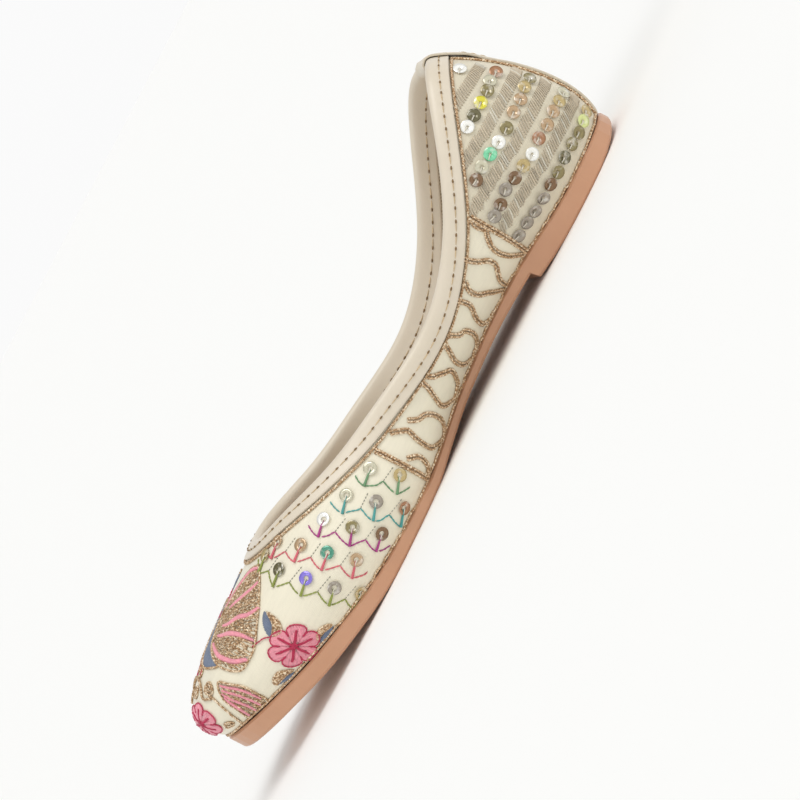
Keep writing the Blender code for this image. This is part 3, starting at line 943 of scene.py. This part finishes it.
def flower(work, centre, radius, turn, place, side):
    centre = np.array(centre, float)
    for petal in range(6):
        angle = math.radians(turn + petal * 60)
        out = np.array((math.cos(angle), math.sin(angle)))
        across = np.array((-out[1], out[0]))
        half = ((0.45, 0.25), (0.72, 0.37), (0.92, 0.27))
        shape = ((0.12, 0), *half, (1, 0), *((far, -wide) for far, wide in reversed(half)))
        outline = [centre + (out * far + across * wide) * radius for far, wide in shape]
        satin(work, outline, turn + petal * 60, place, side, ROSE, stitch=radius * 0.45)
        edged(work, outline[1:-1] + outline[-1:], place, side, CRIMSON)
        vein = [centre, centre + out * radius * 0.4, centre + out * radius * 0.72]
        band(work, vein, 0.9, place, side, CRIMSON, 0.0006)
    satin(work, oval(*centre, 1.3, 1.3), turn, place, side, CRIMSON, 0.0007)


def leaf(work, blue, golden, angle, place, side):
    satin(work, blue, angle, place, side, SLATE)
    satin(work, golden, angle + 30, place, side, ZARI, 0.0001, 0.15, stitch=1.6)
    cord_line(work, golden, place, side, 0.0002, closed=True)


flowers = new_work()
for side in (1, -1):
    flower(flowers, (210, 7.8), 8.2, 90, charted, side)
    leaf(
        flowers,
        ((204, 24), (207.8, 22), (210.5, 18), (210.7, 15.5), (207, 18.5)),
        ((204, 23), (206.5, 18.8), (210.3, 15.6), (207.5, 14.6), (204.8, 17.5)),
        100, charted, side,
    )
    leaf(
        flowers,
        ((205, 1.3), (201.5, 0.5), (198, 1.6), (201.5, 2.9)),
        ((204.5, 3), (201.5, 3.1), (198, 2.2), (198.6, 4), (201.5, 5.1)),
        0, charted, side,
    )
    leaf(
        flowers,
        ((218.4, 0.7), (222, 1), (225.6, 2.6), (221.5, 2.7)),
        ((218, 2.3), (221.5, 2.9), (225.4, 2.9), (224.6, 5), (221, 6)),
        0, charted, side,
    )
    edged(flowers, ((211, 16), (213, 17.6), (215.5, 18), (218, 18.5)), charted, side, CRIMSON)
flower(flowers, (253, 11.5), 7.2, 0, charted, 1)
flower(flowers, (-20.5, 206), 7.8, 30, planned, 1)
leaf(
    flowers,
    ((-7.5, 197), (-7.8, 200.5), (-12.5, 203.2), (-13.2, 200.5)),
    ((-8.3, 196.2), (-12.3, 195.5), (-16, 198), (-13.8, 200), (-11, 198.3)),
    125, planned, 1,
)
leaf(
    flowers,
    ((-27, 203.5), (-31, 203.2), (-33.8, 200.3), (-30, 201.3)),
    ((-27, 201.9), (-29.8, 200.4), (-33.6, 199.6), (-30.5, 198.6), (-28, 199.8)),
    20, planned, 1,
)
leaf(
    flowers,
    ((-21.7, 211.7), (-22.5, 215.5), (-27, 217.3), (-25.2, 213.5)),
    ((-26.7, 211.3), (-28.5, 214.3), (-27.6, 217), (-26, 213.8)),
    130, planned, 1,
)
finished(flowers, "flowers", *vamp_threads)

# Birds
# Two birds face to face on the vamp in slate blue satin, edged with gold cord, with crimson eyes and beaks.
# The tail of each spreads to the side of the toe in gold work with rose pink feathers.


GOLD_PITCH, GOLD_LENGTH, GOLD_MARGIN = 0.62, 1.15, 0.85


def gold_work(work, outline, pivot, place, side):
    """Short gilt stitches that all point to a pivot, over the whole of an outline."""
    outline = spline(outline, 4, closed=True)
    after = np.roll(outline, -1, 0)
    low, high = outline.min(0), outline.max(0)
    for u in np.arange(low[0], high[0], GOLD_PITCH):
        for v in np.arange(low[1], high[1], GOLD_LENGTH):
            spot = np.array((u + random.uniform(-0.2, 0.2), v + random.uniform(-0.5, 0.5)))
            crosses = (outline[:, 1] > spot[1]) != (after[:, 1] > spot[1])
            run = after[crosses] - outline[crosses]
            met = outline[crosses, 0] + (spot[1] - outline[crosses, 1]) / run[:, 1] * run[:, 0]
            near_edge = np.linalg.norm(outline - spot, axis=1).min() < GOLD_MARGIN
            if near_edge or np.count_nonzero(met > spot[0]) % 2 == 0:
                continue
            way = unit(np.array(pivot) - spot)
            spots = [place(*(spot + way * reach), side) for reach in (-0.8, -0.3, 0.3, 0.8)]
            path, normals = split_spots(spots)
            lift = np.array((0.05, 0.3, 0.3, 0.05)) * 0.001 * random.uniform(0.6, 1.2)
            path = path + normals * lift[:, None]
            add_sections(work, tube(path, normals, 0.00028, 4), ZARI, random.gauss(0.95, 0.14))


TAIL = (
    (3.5, 213), (4.5, 207), (8, 201.5), (12, 197), (16, 193.2), (20.5, 192), (24.5, 196), (27.5, 202.5),
    (29, 209), (29.5, 215), (28.5, 220.5), (26, 226), (20, 227.5), (12, 225), (6, 221),
)
TAIL_FEATHERS = (
    ((20.5, 192.2), (15.8, 194.3), (11.5, 198.7), (7, 203.7), (4.2, 209)),
    ((24, 196.5), (21.5, 200), (17.8, 203.6), (14, 206.6), (11.5, 208.5)),
    ((28, 204), (25, 207.7), (21, 210), (16.5, 213.5), (12.5, 215)),
    ((29, 214.3), (25, 214.8), (19.5, 216.2), (15, 218), (11.5, 218.8)),
    ((28, 221), (24.5, 223.8), (18.5, 224.5), (13.5, 223.3), (10, 222)),
)
SIDE_TAIL = (
    (236.8, 18), (233.5, 15), (231, 11.5), (230.8, 7), (232.5, 1.2), (237, 0.8), (241, 1.5), (239, 7),
    (238.5, 13.5),
)
SIDE_FEATHERS = (
    ((236.5, 16.5), (232.8, 12), (231.8, 8), (232.2, 4)),
    ((237, 15), (234.5, 10.5), (234, 6), (234.8, 2)),
    ((237.7, 14), (236.6, 9), (236.5, 5), (237.5, 1.6)),
    ((238, 12.5), (238.3, 8), (239, 5), (240.2, 2)),
)
BODY = (
    (3, 213.5), (1, 208.5), (-3, 206.5), (-7.5, 207.5), (-10, 211), (-9.5, 214.5), (-6.5, 217), (-4, 217.5),
    (-3.5, 221.5), (-0.5, 226.5), (4, 229.5), (9.5, 230.5), (15, 229.5), (19, 227.5), (12.5, 225), (7.5, 222),
    (4, 218), (2, 215),
)
SECOND_HEAD = (
    (-6.6, 224), (-8.9, 222.2), (-13.1, 221.1), (-17.3, 221), (-16.4, 224.3), (-14, 226.1), (-13.4, 228.8),
    (-11, 230.5), (-8.3, 229.9), (-6.9, 227.6),
)
SECOND_BREAST = (
    (-13.4, 227.6), (-14, 231.1), (-16.7, 234.1), (-19.7, 234.8), (-23.2, 233.5), (-26.8, 230.5),
    (-22, 231.4), (-17.9, 230.2), (-15.2, 227.3),
)
birds = new_work()
gold_work(birds, TAIL, (2, 220), planned, 1)
cord_line(birds, TAIL, planned, 1, closed=True)
for feather in TAIL_FEATHERS:
    band(birds, feather, 1.7, planned, 1, ROSE, 0.0007)
    for shift in (-1.15, 1.15):
        cord_line(birds, [(x, s + shift) for x, s in feather], planned, 1, 0.0002)
for side in (1, -1):
    gold_work(birds, SIDE_TAIL, (237, 20), charted, side)
    cord_line(birds, SIDE_TAIL, charted, side, closed=True)
    for feather in SIDE_FEATHERS:
        band(birds, feather, 0.9, charted, side, ROSE, 0.0006)
satin(birds, BODY, 62, planned, 1, SLATE, stitch=4.5)
satin(birds, SECOND_HEAD, 40, planned, 1, SLATE, stitch=4)
satin(birds, SECOND_BREAST, 60, planned, 1, SLATE, stitch=4)
for outline in (BODY, SECOND_HEAD, SECOND_BREAST):
    cord_line(birds, outline, planned, 1, closed=True)
for centre, nape in (((-4, 212.5), (2, 212.8)), ((-10.2, 226.6), (-16.5, 224.2))):
    satin(birds, oval(*centre, 1.7, 1.4), 20, planned, 1, CRIMSON, 0.0005)
    middle = ((centre[0] + nape[0]) / 2, (centre[1] + nape[1]) / 2)
    band(birds, (centre, middle, nape), 0.8, planned, 1, CRIMSON, 0.0005)
for beak, angle in (
    (((-11.2, 213.4), (-12.6, 216.4), (-14, 219.8), (-11, 218.2), (-8.2, 216.8), (-9.6, 215)), 115),
    (((-6, 228.6), (-4.6, 232.5), (-4.1, 236.6), (-6.8, 234.6), (-9, 232.2), (-7.6, 230)), 100),
    (((-19.7, 225.2), (-21.5, 223.4), (-25, 222.5), (-29.2, 223.3), (-27.4, 225.5), (-23.8, 226.7)), 0),
):
    satin(birds, beak, angle, planned, 1, CRIMSON)
edged(birds, ((0.6, 209.5), (-1, 207.3), (-3.5, 206), (-6.5, 206.4)), planned, 1, CRIMSON)
WING_LOOPS = (
    ((-16.1, 225.2), (-18.5, 228.4), (-22, 229.6), (-26.2, 228.4), (-29.2, 225.4)),
    ((-17.6, 224.6), (-19.6, 227.4), (-22.6, 228.3), (-26, 227.2), (-28.4, 224.8)),
    ((-17.3, 220.7), (-19.7, 219.9), (-23, 220.8), (-26.5, 220.8), (-29.2, 221.8)),
    ((-30, 206), (-28.4, 211), (-28.6, 215), (-28, 220)),
    ((-5, 218), (-6, 221), (-7, 223)),
)
for loop in WING_LOOPS:
    cord_line(birds, loop, planned, 1)
SECOND_TAIL = ((30.5, 207.5), (34, 208.5), (33, 214), (31, 219.5), (28.5, 220.5), (29, 214))
gold_work(birds, SECOND_TAIL, (28, 222), planned, -1)
for feather in (((30.2, 208), (29.6, 213.5), (28.8, 219.5)), ((33.6, 209), (32.3, 214), (30, 219.8))):
    band(birds, feather, 1.6, planned, -1, ROSE, 0.0006)
finished(birds, "birds", *vamp_threads)

# Vine
# A thin branch of gold cord round the toe, with coiled gold berries and crimson buds.

VINE = (
    (17, 238.5), (13, 239.8), (10.5, 236.8), (6.5, 235.2), (0.5, 234.7), (-4, 236.8), (-9, 240.2), (-13, 244)
)
BERRIES = ((16, 235.6), (6, 239), (-3.5, 241.3), (-13, 238.6))
BUDS = ((6.5, 232.4), (1, 231.2), (-20.5, 237.2), (-22.8, 235.2))
COIL_CORD = 0.00024


def coil(x, s, turns, growth, count):
    """A spiral line out from a centre, through count places."""
    angles = np.linspace(0, turns * 2 * math.pi, count)
    return [(x + (0.3 + a * growth) * math.cos(a), s + (0.3 + a * growth) * math.sin(a)) for a in angles]


vine = new_work()
cord_line(vine, VINE, planned, 1, 0.00032)
edged(vine, VINE[2:6], planned, 1, CRIMSON, 0.00024)
edged(vine, ((-12.5, 232.5), (-13.6, 234.2), (-15, 235.5)), planned, 1, CRIMSON)
for x, s in BERRIES:
    cord_line(vine, coil(x, s, 2.5, 0.13, 24), planned, 1, COIL_CORD)
for x, s in BUDS:
    satin(vine, oval(x, s, 0.9, 1.3), 90, planned, 1, CRIMSON)
    cord_line(vine, oval(x, s, 1.4, 1.8), planned, 1, 0.0002, True)
for side in (1, -1):
    cord_line(vine, ((245, 20), (241.5, 15), (241, 10), (242.5, 5), (244.5, 1.5)), charted, side)
    cord_line(vine, coil(246, 5, 2, 0.12, 20), charted, side, COIL_CORD)
finished(vine, "vine", *vamp_threads)

# Sock
# A thin padded insole covered in smooth cream leather, cemented to the floor of the shoe.

sock = smooth_copy("insole", "padded_sock", rim_crease=0.4)
give_material(sock, leather("smooth cream sock leather", "efe4da", "e6d9cd", 0.45))

# Facing tapes
# A narrow leather tape along each side inside, laid over the foot of the lining where it meets the sock and
# sewn through its middle.

TAPE_WIDTH, TAPE_THICKNESS, TAPE_LIFT, TAPE_SINK = 4.5, 0.0005, 0.0003, 0.0002
TAPE_STITCH, TAPE_HOLE_SHADE = (0.0036, 0.0014, 0.0002), (0.0012, 0.0038, 0.00042)
TAPE_EDGE = (
    (22.5, 24.3), (37, 26), (55, 22.5), (69, 20), (83, 17.5), (97.6, 15.6), (112, 15.5), (119, 17),
    (126, 20.2), (133, 23.8), (140, 27.7), (146, 28.6),
)
inside_points, inside_faces = [], []
for piece in (upper, sock):
    start = len(inside_points)
    inside_points += [v.co.copy() for v in piece.data.vertices]
    inside_faces += [tuple(start + i for i in face.vertices) for face in piece.data.polygons]
inside_skin = BVHTree.FromPolygons(inside_points, inside_faces)


def inside_place(x, y):
    """The lining or sock straight under x and y, or beside them where they lie over the gap between."""
    place, normal, *_ = inside_skin.ray_cast(Vector((x, y, ABOVE)), DOWN)
    if place is None:
        place, normal, *_ = inside_skin.find_nearest(Vector((x, y, 0.012)))
    return np.array(place), np.array(normal)


tapes, tape_stitches = new_work(), new_work()
edge_line, = even(spline(TAPE_EDGE, 8), 1.5)
for side in (1, -1):
    rows = []
    for s, half_width in edge_line:
        across = [half_width - TAPE_WIDTH * share for share in (0, 0.25, 0.5, 0.75, 1)]
        met = [inside_place(side * x / 1000, along(s)) for x in across]
        rows.append(split_spots(met))
    places, lifts = split_spots(rows)
    lifts = unit(lifts)
    for _ in range(2):
        for field in (places, lifts):
            field[1:-1] = (field[:-2] + 2 * field[1:-1] + field[2:]) / 4
    top = places + lifts * (TAPE_THICKNESS + TAPE_LIFT)
    bottom = places - lifts * TAPE_SINK
    add_sections(tapes, np.concatenate([top, bottom[:, ::-1]], 1))
    seam, seam_normals = even(top[:, 2], STITCH_STEP, False, unit(lifts[:, 2]))
    # The darker thread at each needle hole is painted shade.
    sewn(tape_stitches, seam, unit(seam_normals), *TAPE_HOLE_SHADE, 1)
    sewn(tape_stitches, seam, unit(seam_normals), *TAPE_STITCH)
finished(tapes, "facing_tapes", leather("cream facing tape", "e2d7c6", "d6c9b5", 0.5))
finished(tape_stitches, "tape_stitches", sewing_thread, needle_hole_painted_shade)
